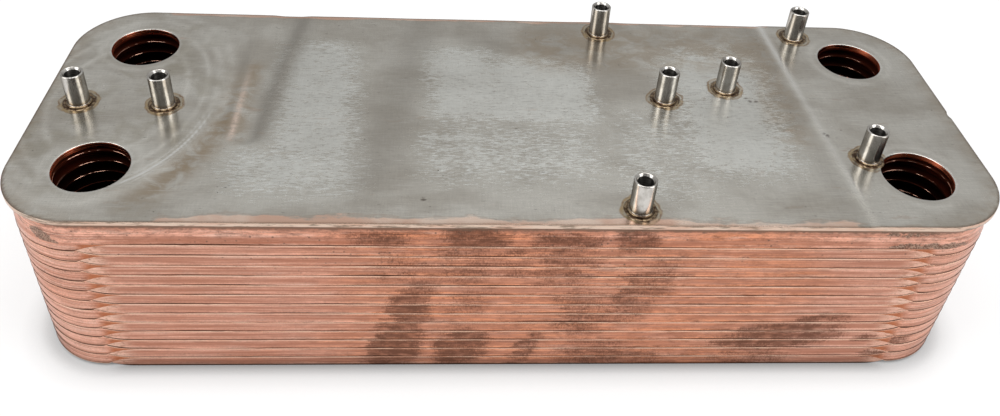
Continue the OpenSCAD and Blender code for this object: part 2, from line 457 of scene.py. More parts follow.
def stain(s, x, z, blobs):
    """Soft leaning blobs on the long side, laid out as FRONT_SMUDGES."""
    total = None
    for centre_x, centre_z, half_x, half_z, lean, depth in blobs:
        dz = s.math("SUBTRACT", z, centre_z)
        dx = s.math("SUBTRACT", s.math("SUBTRACT", x, centre_x), s.times(dz, lean))
        u = s.math("POWER", s.math("ABSOLUTE", s.math("DIVIDE", dx, half_x)), 2.2)
        v = s.math("POWER", s.math("ABSOLUTE", s.math("DIVIDE", dz, half_z)), 2.2)
        blob = s.ramp(s.math("ADD", u, v), 0.1, 1.9, depth, 0)
        total = blob if total is None else s.math("MAXIMUM", total, blob)
    return total


def painted_light_side(s):
    """1 on the side of a port that faces away from the middle of the plate, where painted light makes the
    copper brighter.
    """
    port_x = abs(PORTS_MM[0][0])
    return s.ramp(s.math("ABSOLUTE", s.x), port_x, port_x + 10)


class SkirtShader(Shader):
    """Shader for the skirts, with the measures and noises that its layers share."""

    def __init__(self, name):
        super().__init__(name)
        self.edge_z = UPPER_EDGE / MM
        # Two kinds of plates take turns, so one band of skirts is two pitches high
        self.band_h = 2 * PITCH / MM
        # Counted from far above the plates, so that it is never negative
        below_top = self.math("SUBTRACT", self.edge_z + 20 * self.band_h, self.z)
        self.below_edge = self.math("MODULO", below_top, self.band_h)
        self.band = self.math("FLOOR", self.math("DIVIDE", below_top, self.band_h))
        offset = self.combine(self.times(self.band, 17.3), self.times(self.band, 9.1), 0)
        self.local = self.shift(self.place, offset)
        self.front = self.math("LESS_THAN", self.y, 0)
        self.streaks = self.band_noise(30, 0.7, 3, 0.6)
        self.patches = self.band_noise(14, 1.6, 4, 0.6, distortion=0.3, seed=(0, 6, 3))
        self.lines = self.band_noise(90, 0.3, 2, 0.6, seed=(2, 4, 9))
        self.broad = self.side_noise(60, 26, 3, 0.5, distortion=0.5, seed=(5, 2, 1))
        self.grain = self.noise((0.5, 0.5, 0.5), 2, 0.6, seed=(1, 8, 8))
        self.ragged = self.side_noise(2.4, 1.5, 4, 0.65, seed=(6, 1, 7))

    def band_noise(self, along, up, *settings, **more):
        """Noise on the skirts that starts afresh at each band."""
        return self.side_noise(along, up, *settings, place=self.local, **more)

    def into_side(self):
        """Distance in mm from the end of a corner into a side, negative round the corner."""
        along, across = self.math("ABSOLUTE", self.x), self.math("ABSOLUTE", self.y)
        on_long_side = self.math("GREATER_THAN", across, (CENTRE_Y + 0.8 * SKIRT_R) / MM)
        from_end = self.math("SUBTRACT", CENTRE_X / MM, along)
        from_side = self.math("SUBTRACT", CENTRE_Y / MM, across)
        return self.blend(on_long_side, from_side, from_end)


def copper_skin(s):
    """Pink copper, orange and uneven in the middle of the front, with fine level lines."""
    middle = s.ramp(s.math("ABSOLUTE", s.math("SUBTRACT", s.x, DARK_MIDDLE_X)), 110, 45)
    pink = (0.78, 0.41, 0.305)
    orange = (0.73, 0.295, 0.155)
    s.start(s.shaken(middle, s.broad, 2.2), 0, 1, pink, orange)
    s.tint(s.times(s.ramp(s.streaks, 0.36, 0.70), 0.6), (0.44, 0.185, 0.12))
    s.tint(s.times(s.ramp(s.patches, 0.48, 0.66), 0.45), (0.63, 0.42, 0.34))
    s.tint(s.ramp(s.lines, 0.50, 0.64, 0, 0.65), (0.36, 0.15, 0.095))
    s.tint(s.ramp(s.lines, 0.47, 0.34, 0, 0.5), (0.78, 0.53, 0.43))
    blotch = s.band_noise(6, 1.8, 5, 0.7, distortion=0.5, seed=(8, 3, 5))
    uneven = s.math("MAXIMUM", middle, s.ramp(s.z, s.edge_z - 1.4, s.edge_z + 0.6))
    spread = s.times(s.math("SUBTRACT", blotch, 0.5), s.blend(uneven, 0.8, 2.7))
    spread = s.math("MINIMUM", s.shaken(spread, s.grain, 0.7), 0.26)
    s.brighten(s.math("ADD", 1, spread))


def side_plate_marks(s, into_side, on_side):
    """Colour of the plates that make the bands on the sides, with painted shade across each band and a
    painted highlight on the tips where they narrow to a corner.
    """
    # Painted shade across the middle of each band, for the bulge of the skirt
    painted_band_shade = s.times(s.bell(s.below_edge, 2.7, 1.9), s.ramp(s.streaks, 0.3, 0.6, 0.35, 0.9), on_side)
    s.tint(painted_band_shade, (0.43, 0.19, 0.125))
    wander = s.band_noise(38, 40, 3, 0.6, seed=(1, 1, 5))
    hair = s.bell(s.shaken(s.below_edge, wander, 2.2), 1.75, 0.3)
    hair = s.times(hair, s.ramp(s.streaks, 0.40, 0.58), on_side, 0.6)
    s.tint(hair, (0.30, 0.13, 0.085))
    # Painted highlight on the tips where the side bands narrow to a corner
    painted_tip_highlight = s.times(s.ramp(into_side, 11, 3), s.ramp(s.z, s.edge_z + 0.2, s.edge_z - 0.4))
    painted_tip_highlight = s.times(painted_tip_highlight, s.ramp(into_side, -2, 0), s.ramp(s.patches, 0.36, 0.56, 0.4, 1), 0.5)
    s.tint(painted_tip_highlight, (0.86, 0.60, 0.47))
    hem = s.times(s.bell(s.z, s.edge_z + 0.9, 1.9), s.ramp(s.streaks, 0.3, 0.6), 0.6)
    s.tint(hem, (0.42, 0.155, 0.09))


def corner_plate_marks(s, into_side, on_side):
    """Colour of the plates that make the bands round the corners: lighter on the side slivers as a painted
    highlight, with painted orange shade and painted shadow where they end at a side.
    """
    # Painted highlight on the slivers that show along the sides
    s.tint(s.times(on_side, 0.7), (0.76, 0.50, 0.39))
    # A corner edge lies CORNER_LIFT above the next side edge
    corner_edge = 2 * s.band_h - CORNER_LIFT / MM
    above_edge = s.math("MODULO", s.math("SUBTRACT", corner_edge, s.below_edge), s.band_h)
    # Painted orange shade on the face that shows where the corner band ends
    painted_leaf_shade = s.times(s.ramp(into_side, -0.5, 3.5), s.ramp(into_side, 12, 7))
    painted_leaf_shade = s.times(painted_leaf_shade, s.ramp(above_edge, 3.6, 2, 0.35, 0.95))
    s.tint(painted_leaf_shade, (0.44, 0.145, 0.065))
    # Painted shadow above the corner edges near where they end
    painted_edge_shadow = s.times(s.ramp(above_edge, 1.3, 0.1), s.ramp(into_side, -22, -3))
    painted_edge_shadow = s.times(painted_edge_shadow, s.ramp(into_side, 2.5, 0), s.ramp(s.patches, 0.38, 0.58, 0.2, 0.8))
    s.tint(painted_edge_shadow, (0.25, 0.13, 0.085))


def soot_share(s):
    """Brown smudges on the front, broken up at each plate, and light stains on the other sides."""
    jitter = s.band_noise(8, 2.4, 5, 0.65, distortion=0.4, seed=(0, 3, 0))
    speckle = s.side_noise(0.55, 0.9, 3, 0.7, seed=(3, 3, 3))
    own = s.noise((1, 1, 1), 0, 0.5, place=s.combine(s.times(s.band, 3.7), 0, 0))
    shifted = s.shaken(s.shaken(s.x, jitter, 12), own, 9)
    smudges = s.times(stain(s, shifted, s.z, FRONT_SMUDGES), s.front)
    elsewhere = s.times(s.math("SUBTRACT", 1, s.front), s.ramp(s.broad, 0.56, 0.72))
    soot = s.math("MAXIMUM", smudges, elsewhere)
    soot = s.shaken(soot, jitter, 1.1, middle=0.55)
    soot = s.shaken(s.shaken(soot, speckle, 1.5), s.lines, 1.3)
    uneven = s.band_noise(5, 1.7, 3, 0.6, seed=(9, 9, 2))
    return s.times(s.ramp(soot, 0.25, 1), s.ramp(uneven, 0.32, 0.58, 0.55, 1))


def bare_steel(s):
    """Bare steel on the uppermost skirt, and pits there and in one upright stretch of the front."""
    bare = s.times(stain(s, s.x, s.z, BARE_PATCHES), s.front)
    bare = s.ramp(s.shaken(bare, s.ragged, 2.2), 0.5, 0.8)
    metal = s.mix(s.ramp(s.grain, 0.4, 0.6), (0.10, 0.065, 0.048), (0.34, 0.25, 0.19))
    upper = s.ramp(s.z, s.edge_z - 0.4, s.edge_z + 0.2)
    s.tint(s.times(bare, upper, 0.8), metal)
    pits = s.ramp(s.spots(1.9, seed=(4, 4, 4)), 0.24, 0.12)
    pitted = s.times(s.ramp(s.patches, 0.46, 0.58), s.ramp(s.z, 40, 62, 0.25, 1))
    pitted = s.math("MAXIMUM", pitted, s.times(s.bell(s.x, 36, 9), s.ramp(s.z, 20, 45)))
    s.tint(s.times(pits, pitted, 0.8), (0.16, 0.10, 0.075))


def copper_sheet(name, shows_on_sides):
    """Stainless sheet under a skin of braze copper.

    The plates that show on the long sides carry painted shade across each band there. The others show as
    slivers on the sides, lighter there as a painted highlight, and as whole bands round the corners, with
    painted orange shade where the two kinds change over.
    """
    s = SkirtShader(name)
    into_side = s.into_side()
    on_side = s.ramp(into_side, 3, 12)
    copper_skin(s)
    marks = side_plate_marks if shows_on_sides else corner_plate_marks
    marks(s, into_side, on_side)
    # Painted shade in creases where the corner edges ramp to the side edges
    crinkle = s.band_noise(2.6, 0.9, 4, 0.65, distortion=1.2, seed=(7, 7, 1))
    change = s.times(s.ramp(into_side, -2.5, 0.5), s.ramp(into_side, 12, 6))
    painted_crease_shade = s.times(s.ramp(crinkle, 0.50, 0.62), change, s.ramp(s.z, s.edge_z + 0.2, s.edge_z - 1.4), 0.5)
    s.tint(painted_crease_shade, (0.27, 0.105, 0.06))
    soot = soot_share(s)
    s.tint(s.times(soot, 0.9), (0.185, 0.082, 0.053))
    bare_steel(s)
    # Painted shade in the crevice under the cover plate, and a painted contact shadow along the edge that
    # the stack stands on
    under_cover = COVER_BOTTOM / MM
    painted_crevice_shade = s.shaken(s.z, s.ragged, 2.6)
    painted_crevice_shade = s.ramp(painted_crevice_shade, under_cover - 3.4, under_cover - 2.5, 0, 0.85)
    s.tint(painted_crevice_shade, (0.20, 0.125, 0.09))
    # Painted contact shadow along the bottom edge
    s.tint(s.ramp(s.z, 0.8, 0.35, 0, 0.9), (0.06, 0.035, 0.025))
    # Dark red copper inside the port channels, with painted shade deeper down and painted light on the outer
    # side
    inside = s.ramp(s.nearest(PORTS_MM), 17, 19, 1, 0)
    wall = s.mix(painted_light_side(s), (0.17, 0.034, 0.015), (0.30, 0.065, 0.03))
    wall = s.mix(s.ramp(s.z, 56, 68), (0.02, 0.006, 0.004), wall)
    s.tint(inside, wall)
    fine = s.side_noise(1.3, 0.4, 3, 0.7)
    s.bump(s.math("ADD", s.times(s.patches, 0.8), s.times(fine, 0.4)), 0.25, 0.08 * MM)
    rough = s.blend(soot, s.blend(s.broad, 0.28, 0.40), 0.55)
    return s.finish(rough, s.blend(inside, 1, 0.9))


# ------------ materials of the smaller pieces


def braze_copper():
    """Clean copper of the braze beads and fillets."""
    s = Shader("braze_copper")
    tone = s.side_noise(16, 1.5, 4, 0.6)
    s.start(tone, 0.35, 0.65, (1, 0.69, 0.51), (0.84, 0.42, 0.27))
    dull = s.side_noise(9, 1.2, 3, 0.6, seed=(4, 1, 0))
    s.tint(s.ramp(dull, 0.54, 0.64, 0, 0.7), (0.42, 0.20, 0.13))
    return s.finish(0.2)


def port_copper():
    """Red copper on the wall of a port, in stretches of painted highlight and painted shade, with streaks of
    painted light on its outer side.
    """
    s = Shader("port_copper")
    tone = s.side_noise(16, 0.5, 3, 0.6, seed=(3, 0, 0))
    s.start(tone, 0.45, 0.57, (0.98, 0.25, 0.11), (0.07, 0.015, 0.008))
    # Painted light on the outer side of the port
    painted_light_streaks = s.times(painted_light_side(s), s.ramp(tone, 0.56, 0.44, 0.3, 0.9))
    s.tint(painted_light_streaks, (0.95, 0.25, 0.12))
    s.grooves(0.9, 0, 0, 1)
    return s.finish(s.blend(painted_light_streaks, 0.27, 0.42))


def ring_copper():
    """Braze inside the ports: dark red in painted shade, with bright stretches of painted highlight."""
    s = Shader("ring_copper")
    tone = s.side_noise(7, 1.1, 4, 0.7)
    s.start(tone, 0.50, 0.58, (0.04, 0.01, 0.006), (0.98, 0.57, 0.42))
    return s.finish(0.18)


def standoff_steel():
    """Turned and polished stainless steel: the fine turning spreads highlights along the axis."""
    s = Shader("standoff_steel")
    turning = s.side_noise(40, 0.12, 3, 0.7)
    grime = s.side_noise(2.5, 4, 4, 0.65, seed=(1, 4, 0))
    s.start(grime, 0.4, 0.65, (0.62, 0.595, 0.56), (0.46, 0.435, 0.40))
    s.bump(turning, 0.08, 0.05 * MM)
    s.grooves(0.9, 0, 0, 1)
    s.plug(s.bsdf.inputs["Specular Tint"], (0.30, 0.29, 0.28))
    return s.finish(s.blend(grime, 0.13, 0.20))


def bore_steel_painted_shade():
    """Steel inside a stand-off, near black below its mouth as painted shade, and bright on the chamfer at
    its mouth.
    """
    s = Shader("bore_steel_painted_shade")
    cut = s.side_noise(3, 0.3, 3, 0.6)
    # Painted shade: near black below the chamfer
    s.start(cut, 0.35, 0.65, (0.22, 0.21, 0.195), (0.10, 0.095, 0.088))
    mouth = (STANDOFF_TOP - MOUTH_CHAMFER) / MM
    s.tint(s.ramp(s.z, mouth - 0.05, mouth + 0.05), (0.62, 0.60, 0.57))
    s.grooves(0.95, 0, 0, 1)
    return s.finish(0.32)


def weld_steel():
    """Weld ring at the foot of a stand-off, straw and brown from the heat."""
    s = Shader("weld_steel")
    s.start(s.side_noise(1.6, 1.2, 4, 0.65), 0.42, 0.58, (0.32, 0.24, 0.15), (0.08, 0.048, 0.03))
    return s.finish(0.34)


def oxide_and_shadow_line():
    """Dark brown line along a cut edge: oxide, and painted shadow under the step."""
    s = Shader("oxide_and_shadow_line")
    s.start(s.side_noise(9, 0.8, 4, 0.65), 0.35, 0.62, (0.10, 0.042, 0.026), (0.26, 0.12, 0.08))
    return s.finish(0.5)


def back_steel():
    """Plain sheet with a thin, uneven wash of copper."""
    s = Shader("back_steel")
    wash = s.noise((45, 30, 30), 5, 0.6, distortion=0.7)
    brush = s.noise((14, 0.25, 0.25), 3, 0.7)
    s.start(wash, 0.42, 0.62, (0.52, 0.50, 0.47), (0.62, 0.42, 0.32))
    s.bump(brush, 0.12)
    return s.finish(0.36)


# ------------ mesh helpers


def link_object(name, data):
    obj = bpy.data.objects.new(name, data)
    bpy.context.collection.objects.link(obj)
    return obj


def new_object(name, vertices, faces, materials, smooth=True, material_ids=None):
    mesh = bpy.data.meshes.new(name)
    mesh.from_pydata([tuple(v) for v in vertices], [], [tuple(f) for f in faces])
    for material in materials:
        mesh.materials.append(material)
    if material_ids is not None:
        mesh.polygons.foreach_set("material_index", material_ids)
    mesh.polygons.foreach_set("use_smooth", [smooth] * len(mesh.polygons))
    mesh.update()
    return link_object(name, mesh)


def add_strip(faces, base, rows, width, closed=True, outward=False):
    """Adds the quads between rows of vertices, with the last row joined to the first if closed."""
    for i in range(rows if closed else rows - 1):
        j = (i + 1) % rows
        for k in range(width - 1):
            a, b = base + i * width + k, base + j * width + k
            faces.append((a, b, b + 1, a + 1) if outward else (a, a + 1, b + 1, b))


def add_lathe(vertices, faces, profile, centre, turns, wobble=None, outward=False):
    """Adds a profile of (radius, height) turned round a vertical axis.

    wobble(angle, step) adds to the radius. outward says that the profile runs from the inside out.
    """
    base = len(vertices)
    for i in range(turns):
        a = 2 * math.pi * i / turns
        for k, (r, z) in enumerate(profile):
            if wobble:
                r += wobble(a, k)
            vertices.append((centre[0] + r * math.cos(a), centre[1] + r * math.sin(a), z))
    add_strip(faces, base, turns, len(profile), outward=outward)


def rounded_box_distance(x, y, half_x, half_y, radius):
    """Signed distance to a rounded rectangle, negative inside."""
    qx = np.abs(x) - (half_x - radius)
    qy = np.abs(y) - (half_y - radius)
    outside = np.hypot(np.maximum(qx, 0), np.maximum(qy, 0))
    return outside + np.minimum(np.maximum(qx, qy), 0) - radius


def smoothstep(value, low, high):
    t = np.clip((value - low) / (high - low), 0, 1)
    return t * t * (3 - 2 * t)


def hump(value, at, wide):
    """1 where the value is `at`, falling away smoothly on both sides."""
    return np.exp(-(((value - at) / wide) ** 2))


def soft_box(x, y, x0, x1, y0, y1, soft):
    """1 inside a rectangle given in mm, fading over soft mm."""
    across = smoothstep(x, x0 - soft, x0 + soft) * (1 - smoothstep(x, x1 - soft, x1 + soft))
    along = smoothstep(y, y0 - soft, y0 + soft) * (1 - smoothstep(y, y1 - soft, y1 + soft))
    return across * along


def strongest(x, y, boxes):
    """Highest of some soft boxes, laid out as SCUFFS."""
    total = np.zeros_like(x)
    for x0, x1, y0, y1, soft, strength, lean in boxes:
        total = np.maximum(total, strength * soft_box(x + lean * y, y, x0, x1, y0, y1, soft))
    return total


# ------------ cover plate


def cover_distance(x, y):
    """Signed distance to the flat top of the cover plate, inside its rounded edges."""
    d = rounded_box_distance(x, y, HALF_L - EDGE_R, HALF_W - EDGE_R, CORNER_R - EDGE_R)
    for px, py in PORT_XY:
        d = np.maximum(d, PORT_R + LIP_R - np.hypot(x - px, y - py))
    return np.maximum(d, NICK_R - np.hypot(x - HALF_L - NICK_R + NICK_DEPTH, y))


def port_land(x, y):
    """Below 1 on the raised land round the two ports at the left end. x and y in mm."""
    u = (x + 139) / 36
    v = (y - 3 - 0.12 * (x + 139)) / 53
    return np.hypot(u, v)


def from_crease(x, y):
    """Distance in mm to the right of the crease that crosses the plate near its right end."""
    return x - 111.2 + 0.056 * y


def groove(x, y):
    """Depth share of the round-ended groove that runs in from the back edge. x and y in mm."""
    middle = -91.8 + 0.0009 * np.clip(y + 22, 0, None) ** 2
    half = 5.2 + 0.035 * np.clip(y + 20, 0, None)
    down = np.clip(-18 - y, 0, None)
    across = np.hypot((x - middle) / half, down / 5.2)
    return 1 - smoothstep(across, 0.35, 1)


def relief(x, y):
    """Height of the sheet over its nominal top, in metres, at x and y in metres.

    The sheet lies a little lower between the land on the left and the crease on the right, and is flat
    round each stand-off.
    """
    x = x / MM
    y = y / MM
    land = 1 - smoothstep(port_land(x, y), 0.94, 1.10)
    right = smoothstep(from_crease(x, y), -2.4, 1.2)
    lowered = 1 - np.maximum(land, right)
    ripple = 0.035 * np.sin(x / 7.5) * np.sin(y / 19 + 1)
    sag = 0.10 * np.cos(y / 38) + 0.06 * np.sin(x / 31 + 0.6) - 0.1
    clear = np.ones_like(x)
    for sx, sy in STANDOFFS_MM:
        clear = np.minimum(clear, smoothstep(np.hypot(x - sx, y - sy), 7, 15))
    return ((-0.15 + ripple + sag) * lowered - 0.34 * groove(x, y)) * clear * MM


def shade_field(x, y):
    """Painted shade of the relief: where the sheet is darkened beside the scuffs, at the crease, and on the
    groove's two walls.
    """
    shade = 0.5 * hump(x - 0.16 * y, -42, 9) * smoothstep(y, -60, -30)
    shade = np.maximum(shade, 0.3 * hump(x + 0.05 * y, 105, 4.5))
    shade = np.maximum(shade, 0.35 * soft_box(x, y, -20, 30, 36, 54, 8))
    far_wall = x + 87.6 - 0.09 * (y + 17)
    past_end = np.clip(-17 - y, 0, None)
    far_wall = hump(np.hypot(far_wall, past_end), 0, 4.2) * smoothstep(x, -96, -88)
    shade = np.maximum(shade, 0.85 * far_wall)
    past_end = np.clip(-16 - y, 0, None)
    near_wall = hump(np.hypot(x + 99.4, past_end), 0, 1.8) * (1 - smoothstep(y, 20, 50))
    return np.maximum(shade, 0.45 * near_wall)


def cover_fields(x, y):
    """Numbers for the cover's finish and for its painted shade and highlights, at x and y in metres."""
    x = x / MM
    y = y / MM
    land = port_land(x, y)
    swirl = sum(hump(land, at, wide) for at, wide in POLISH_ARCS)
    # Painted highlight along the crease; below, painted highlights round the port lips and real bright
    # scratches on the land
    painted_crease_highlight = hump(from_crease(x, y), 0, 1.4) * smoothstep(y, -54, -40)
    bright = painted_crease_highlight * (0.22 + 0.4 * smoothstep(y, -10, 40))
    low_right = soft_box(x, y, -128, -106, -44, -6, 4)
    for at, wide, strength in LAND_SCRATCHES:
        bright = np.maximum(bright, strength * hump(land, at, wide) * low_right)
    for px, py in PORTS_MM:
        from_port = np.hypot(x - px, y - py)
        swirl = np.maximum(swirl, 0.8 * hump(from_port, 15.5, 1.5))
        bright = np.maximum(bright, 0.3 * hump(from_port, (PORT_R + LIP_R) / MM, 0.3))
    depth_in = -rounded_box_distance(x, y, HALF_L / MM, HALF_W / MM, CORNER_R / MM)
    ring = hump(land, 1.14, 0.13) * smoothstep(x, -132, -112) * (1 - smoothstep(y, 0, 30))
    at_ends = smoothstep(depth_in, 8, 0) * smoothstep(np.abs(x), 120, 150)
    brown = np.maximum(np.maximum(1.2 * ring, 0.55 * at_ends), strongest(x, y, SMEARS))
    # Pale copper on the groove's ridge, partly a painted highlight
    ridge = hump(x, -96.6, 1) * smoothstep(y, -22, -18) * (1 - smoothstep(y, -8, 30))
    return {
        "scuff": strongest(x, y, SCUFFS),
        "shade": shade_field(x, y),
        "swirl": np.clip(swirl, 0, 1),
        "brown": brown,
        "fringe": strongest(x, y, FRINGES),
        "edge": smoothstep(depth_in, 1, 0.2),
        "ridge_copper_and_highlight": 0.85 * ridge,
        "bright": bright,
        "land": smoothstep(land, 1.1, 0.9),
    }


def boundary_loops(faces):
    """Directed boundary edges of a quad list, as closed loops of vertex numbers."""
    edges = dict.fromkeys((a, b) for f in faces for a, b in zip(f, f[1:] + f[:1]))
    following = {a: b for a, b in edges if (b, a) not in edges}
    loops = []
    while following:
        start, current = next(iter(following.items()))
        loop = [start]
        del following[start]
        while current != start:
            loop.append(current)
            current = following.pop(current)
        loops.append(loop)
    return loops


def gradient(x, y):
    """Unit direction in which cover_distance grows fastest."""
    step = 0.02 * MM
    gx = cover_distance(x + step, y) - cover_distance(x - step, y)
    gy = cover_distance(x, y + step) - cover_distance(x, y - step)
    size = np.maximum(np.hypot(gx, gy), 1e-12)
    return gx / size, gy / size


def cover_grid():
    """Grid of the flat top, its edge vertices moved onto the edge: x, y, quads and edge loops."""
    nx = int(round(2 * HALF_L / GRID)) + 1
    ny = int(round(2 * HALF_W / GRID)) + 1
    xs, ys = np.meshgrid(np.linspace(-HALF_L, HALF_L, nx), np.linspace(-HALF_W, HALF_W, ny))
    centre_in = cover_distance((xs[:-1, :-1] + xs[1:, 1:]) / 2, (ys[:-1, :-1] + ys[1:, 1:]) / 2) < 0
    index = np.arange(nx * ny).reshape(ny, nx)
    rows, columns = np.nonzero(centre_in)
    corner = index[rows, columns]
    faces = np.stack([corner, corner + 1, corner + nx + 1, corner + nx], axis=1)
    used, faces = np.unique(faces, return_inverse=True)
    faces = faces.reshape(-1, 4).tolist()
    x = xs.ravel()[used]
    y = ys.ravel()[used]
    loops = boundary_loops(faces)
    edge = np.array(sorted(v for loop in loops for v in loop))
    for _ in range(3):
        gx, gy = gradient(x[edge], y[edge])
        d = cover_distance(x[edge], y[edge])
        x[edge] -= gx * d
        y[edge] -= gy * d
    return x, y, faces, loops


def edge_profile(radius):
    """Steps down from the flat top, as (out, down): a rounded edge, the wall and the turn inwards below."""
    thickness = COVER_TOP - COVER_BOTTOM
    turn = 0.2 * MM
    rounding = [(radius * math.sin(a), radius * (1 - math.cos(a))) for a in np.radians((30, 60, 90))]
    wall = [(radius, thickness * 0.35), (radius, thickness * 0.7), (radius, thickness - turn)]
    return rounding + wall + [(radius - turn, thickness)]


def build_cover(top_material, rim_material, wall_material):
    """The cover plate with its pressed relief, rounded edges and port lips."""
    x, y, faces, loops = cover_grid()
    vertices = [np.stack([x, y, COVER_TOP + relief(x, y)], axis=1)]
    count = len(x)
    material_ids = [0] * len(faces)
    bottoms = []
    for loop in loops:
        loop = np.array(loop)
        gx, gy = gradient(x[loop], y[loop])
        is_port = min(math.hypot(x[loop[0]] - px, y[loop[0]] - py) for px, py in PORT_XY) < 2 * PORT_R
        lift = relief(x[loop], y[loop])
        above = loop
        for number, (out, down) in enumerate(edge_profile(LIP_R if is_port else EDGE_R)):
            # Only the rounded edge follows the relief
            height = COVER_TOP - down + lift * (number < 3)
            vertices.append(np.stack([x[loop] + gx * out, y[loop] + gy * out, height], axis=1))
            ring = np.arange(count, count + len(loop))
            count += len(loop)
            faces += np.stack([np.roll(above, -1), above, ring, np.roll(ring, -1)], axis=1).tolist()
            below_rounding = 2 if is_port else 1
            material_ids += [0 if number < 2 else below_rounding] * len(loop)
            above = ring
        bottoms.append(above.tolist())
    materials = [top_material, rim_material, wall_material]
    cover = new_object("cover_sheet", np.concatenate(vertices), faces, materials, material_ids=material_ids)
    close_bottom(cover, bottoms)
    places = np.empty(len(cover.data.vertices) * 3)
    cover.data.vertices.foreach_get("co", places)
    places = places.reshape(-1, 3)
    for name, values in cover_fields(places[:, 0], places[:, 1]).items():
        attribute = cover.data.attributes.new(name, "FLOAT", "POINT")
        attribute.data.foreach_set("value", np.ascontiguousarray(values, dtype=np.float32))
    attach(cover, "root")
    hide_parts("cover_plate")


def close_bottom(obj, loops):
    """Fills the flat underside between its outer loop and the port loops."""
    bm = bmesh.new()
    bm.from_mesh(obj.data)
    bm.verts.ensure_lookup_table()
    pairs = [pair for loop in loops for pair in zip(loop, loop[1:] + loop[:1])]
    edges = [bm.edges.get((bm.verts[a], bm.verts[b])) for a, b in pairs]
    made = bmesh.ops.triangle_fill(bm, use_beauty=True, use_dissolve=False, edges=edges)
    for face in (g for g in made["geom"] if isinstance(g, bmesh.types.BMFace)):
        face.material_index = 1
        face.smooth = False
        if face.normal.z > 0:
            face.normal_flip()
    bm.to_mesh(obj.data)
    bm.free()


# ------------ skirts' braze


def outline(samples_side=150, samples_corner=22):
    """Points round a tray: corner centre or its shift along a side, outward normal, distance into a side."""
    points = []
    for sx, sy, start in ((1, 1, 0), (-1, 1, 90), (-1, -1, 180), (1, -1, 270)):
        x, y = sx * CENTRE_X, sy * CENTRE_Y
        for i in range(samples_corner + 1):
            a = math.radians(start + 90 * i / samples_corner)
            points.append((x, y, math.cos(a), math.sin(a), 0))
        run = 2 * (CENTRE_X if sx == sy else CENTRE_Y)
        count = max(12, int(samples_side * run / (2 * CENTRE_X)))
        nx, ny = math.cos(a), math.sin(a)
        for i in range(1, count):
            t = run * i / count
            points.append((x - t * ny, y + t * nx, nx, ny, min(t, run - t)))
    return points


def edge_height(plate, into_side):
    """Height of a tray's lower edge, counted from the top of its floor and so negative."""
    if plate == 0:
        return -SKIRT_H
    if plate % 2 == 1:
        corner = -SKIRT_H - PITCH + CORNER_LIFT
        side = -SKIRT_H + PITCH - SIDE_REVEAL
    else:
        corner = -SKIRT_H + CORNER_LIFT + CORNER_TUCK
        side = -SKIRT_H
    share = 1 - (1 - min(into_side / RAMP_L, 1)) ** 2
    return corner + (side - corner) * share


def skirt_reach(plate, z):
    """Distance of a skirt's outer face from the corner centres, at height z."""
    nominal_edge = COVER_BOTTOM - plate * PITCH - SKIRT_H
    return SKIRT_R - (z - nominal_edge) * math.tan(FLARE)


def sweep_edges(name, plates, strength, profile, material):
    """A strip that follows the lower skirt edge of some plates.

    strength(plate, into_side, place) scales the strip. profile lists (out, up) in metres from the
    edge's outer corner, for a strength of 1.
    """
    path = outline()
    vertices, faces = [], []
    for plate in plates:
        top = COVER_BOTTOM - plate * PITCH
        base = len(vertices)
        for px, py, nx, ny, into in path:
            z = top + edge_height(plate, into)
            reach = skirt_reach(plate, z)
            place = Vector((px + nx * reach, py + ny * reach, z))
            size = strength(plate, into, place)
            for out, up in profile:
                r = reach + out * size
                vertices.append((px + nx * r, py + ny * r, z + up * size))
        add_strip(faces, base, len(path), len(profile))
    strip = new_object(name, vertices, faces, [material])
    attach(strip, "root")


def side_share(into_side, low=0.2, high=2.2):
    """0 round a corner and 1 along a side, changing from low to high mm into the side."""
    return float(smoothstep(np.float64(into_side), low * MM, high * MM))


def build_braze(bright, dark):
    """Beads of copper in the steps between skirts, and a dark line on each cut edge that is oxide and
    painted shadow.
    """
    even = range(0, CHANNEL_PLATES - 1, 2)
    odd = range(1, CHANNEL_PLATES, 2)
    arc = np.radians((100, 60, 20, -20, -60, -100))
    bead = [(BEAD_R * (math.cos(a) - 0.9), BEAD_R * (math.sin(a) - 0.85)) for a in arc]
    lip = [(-0.04, 0.34), (0.02, 0.30), (0.025, 0.05), (-0.06, -0.03)]
    lip = [(out * MM, up * MM) for out, up in lip]

    def wave(place, length, seed):
        return noise.noise(Vector((place.x / length, place.y / length, place.z / (0.3 * length) + seed)))

    def side_bead(plate, into, place):
        ripple = 0.95 + 0.5 * wave(place, 0.022, 1) + 0.25 * wave(place, 0.004, 2)
        share = side_share(into, 0, 14) if plate == 0 else side_share(into)
        return share * ripple + 0.02

    def corner_bead(plate, into, place):
        return (0.8 + 0.6 * wave(place, 0.014, 3)) * (1 - 0.7 * side_share(into))

    def side_lip(plate, into, place):
        return side_share(into) * (0.7 + wave(place, 0.03, 4)) + 0.02

    def corner_lip(plate, into, place):
        return (1 - side_share(into)) * (1 + 0.9 * wave(place, 0.012, 5)) + 0.02

    sweep_edges("braze_beads_sides", even, side_bead, bead, bright)
    sweep_edges("braze_beads_corners", odd, corner_bead, bead, bright)
    # Dark strips of oxide and painted shadow under the cut edges
    sweep_edges("edge_oxide_and_shadow_sides", even, side_lip, lip, dark)
    sweep_edges("edge_oxide_and_shadow_corners", odd, corner_lip, lip, dark)


